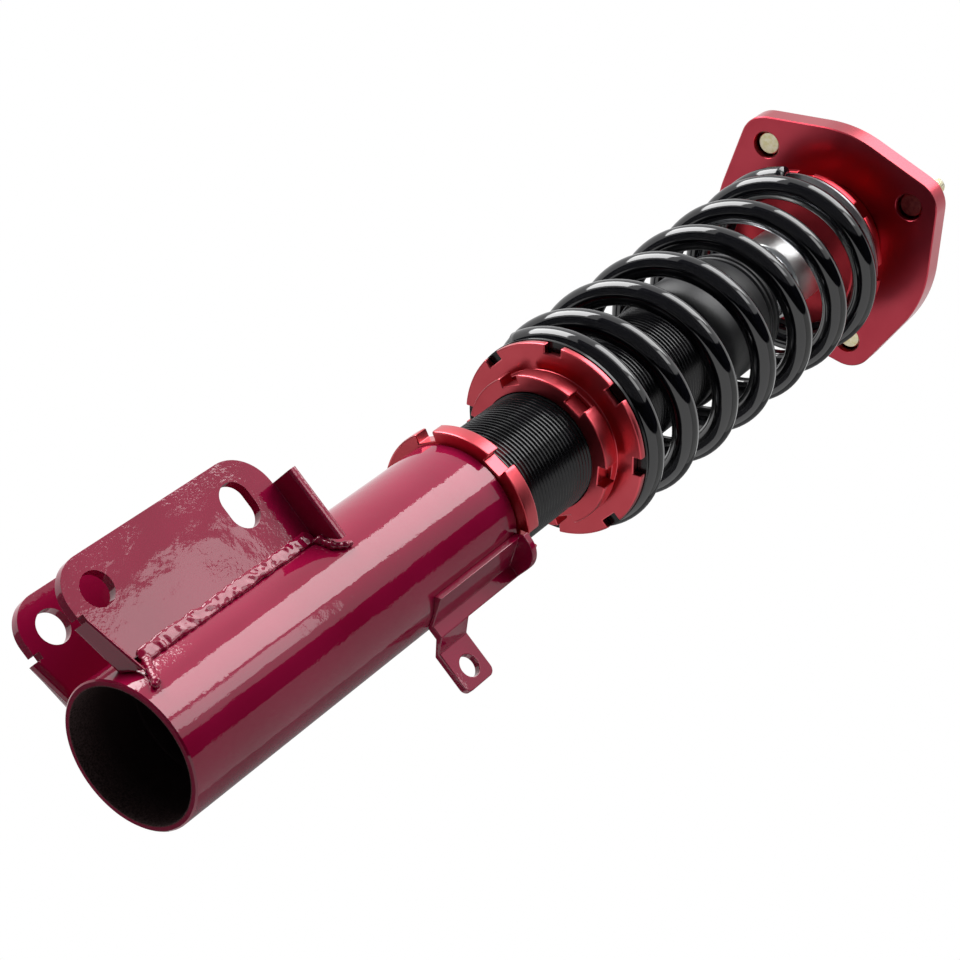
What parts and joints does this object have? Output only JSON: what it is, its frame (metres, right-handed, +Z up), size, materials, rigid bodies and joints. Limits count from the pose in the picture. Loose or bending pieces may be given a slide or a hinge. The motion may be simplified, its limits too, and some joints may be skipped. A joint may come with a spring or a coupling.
{
  "type": "coilover suspension strut",
  "caption": "Height-adjustable coilover strut: threaded damper in a bracketed tube, coil spring between a ring perch and an upper seat, lobed top plate with studs.",
  "frame": {"origin": "centre of the outer tube's open foot, on the strut's axis", "axes": "+Z up the strut's axis towards the top plate, +X from the tube towards the knuckle bracket, +Y towards the side that carries the brake hose bracket's face"},
  "size_m": [0.1209, 0.1161, 0.511],
  "materials": {
    "crimson_paint": "gloss metallic lacquer",
    "red_anodising": "satin anodised",
    "black_gloss": "gloss",
    "black_thread": "satin",
    "boot_rubber": "matte",
    "bright_chrome": "polished",
    "bare_steel": "satin",
    "yellow_zinc": "satin plated",
    "seal_rubber": "matte",
    "bare_aluminium": "turned",
    "bump_foam": "matte",
    "slide_band": "matte"
  },
  "bodies": {
    "strut": {"strut_tube": "crimson_paint", "knuckle_plate_left": "crimson_paint", "knuckle_plate_right": "crimson_paint", "knuckle_weld_left": "crimson_paint", "knuckle_weld_right": "crimson_paint", "hose_bracket": "crimson_paint"},
    "lock_ring": {"body_lock_ring": "red_anodising"},
    "damper": {"damper_body": "black_thread", "base_plug": "bare_steel", "rod_gland": "bare_aluminium", "rod_seal": "seal_rubber"},
    "spring": {"lower_washer": "bare_steel", "coil_spring": "black_gloss"},
    "perch": {"spring_perch": "red_anodising"},
    "perch_ring": {"perch_lock_ring": "red_anodising"},
    "rod": {"piston_rod": "bright_chrome", "rebound_shims": "bare_steel", "piston": "bare_aluminium", "piston_band": "slide_band", "compression_shims": "bare_steel", "piston_nut": "bare_steel", "bump_stop": "bump_foam", "boot_washer": "bright_chrome", "boot_cup": "red_anodising", "rod_spacer": "bright_chrome", "upper_seat": "red_anodising", "dust_boot": "boot_rubber", "upper_washer": "bare_steel", "bearing_ball": "bare_steel", "top_washer": "bare_steel", "top_nut": "yellow_zinc"},
    "divider": {"floating_piston": "bare_aluminium", "floating_piston_seal": "seal_rubber"},
    "top_mount": {"top_plate": "red_anodising", "bearing_race": "bare_steel", "bearing_ring": "bare_steel", "mount_studs": "yellow_zinc"}
  },
  "joints": [
    {"name": "body_ring_turn", "type": "hinge", "parent": "strut", "child": "lock_ring", "pos_m": [0, 0, 0.1859], "axis": [0, 0, 1], "range_deg": [-5400, 5400]},
    {"name": "height_adjust", "type": "slide", "parent": "strut", "child": "damper", "axis": [0, 0, 1], "range_m": [-0.03, 0.03]},
    {"name": "perch_travel", "type": "slide", "parent": "damper", "child": "spring", "axis": [0, 0, 1], "range_m": [-0.012, 0]},
    {"name": "perch_turn", "type": "hinge", "parent": "spring", "child": "perch", "pos_m": [0, 0, 0.2485], "axis": [0, 0, 1], "range_deg": [-2160, 0]},
    {"name": "perch_ring_turn", "type": "hinge", "parent": "spring", "child": "perch_ring", "pos_m": [0, 0, 0.2415], "axis": [0, 0, 1], "range_deg": [-2160, 0]},
    {"name": "damper_stroke", "type": "slide", "parent": "damper", "child": "rod", "axis": [0, 0, 1], "range_m": [-0.04, 0], "stiffness_N_per_m": 45000, "springref_m": 0.005, "deforming": ["coil_spring"]},
    {"name": "divider_travel", "type": "slide", "parent": "damper", "child": "divider", "axis": [0, 0, 1], "range_m": [-0.011, 0]},
    {"name": "mount_swivel", "type": "hinge", "parent": "rod", "child": "top_mount", "pos_m": [0, 0, 0.483], "axis": [0, 0, 1], "continuous": true}
  ],
  "couplings": [
    {"joint": "body_ring_turn", "follows": "height_adjust", "rad_per_m": -3141.6},
    {"joint": "perch_turn", "follows": "perch_travel", "rad_per_m": 3141.6},
    {"joint": "perch_ring_turn", "follows": "perch_travel", "rad_per_m": 3141.6},
    {"joint": "divider_travel", "follows": "damper_stroke", "ratio": 0.26176}
  ]
}
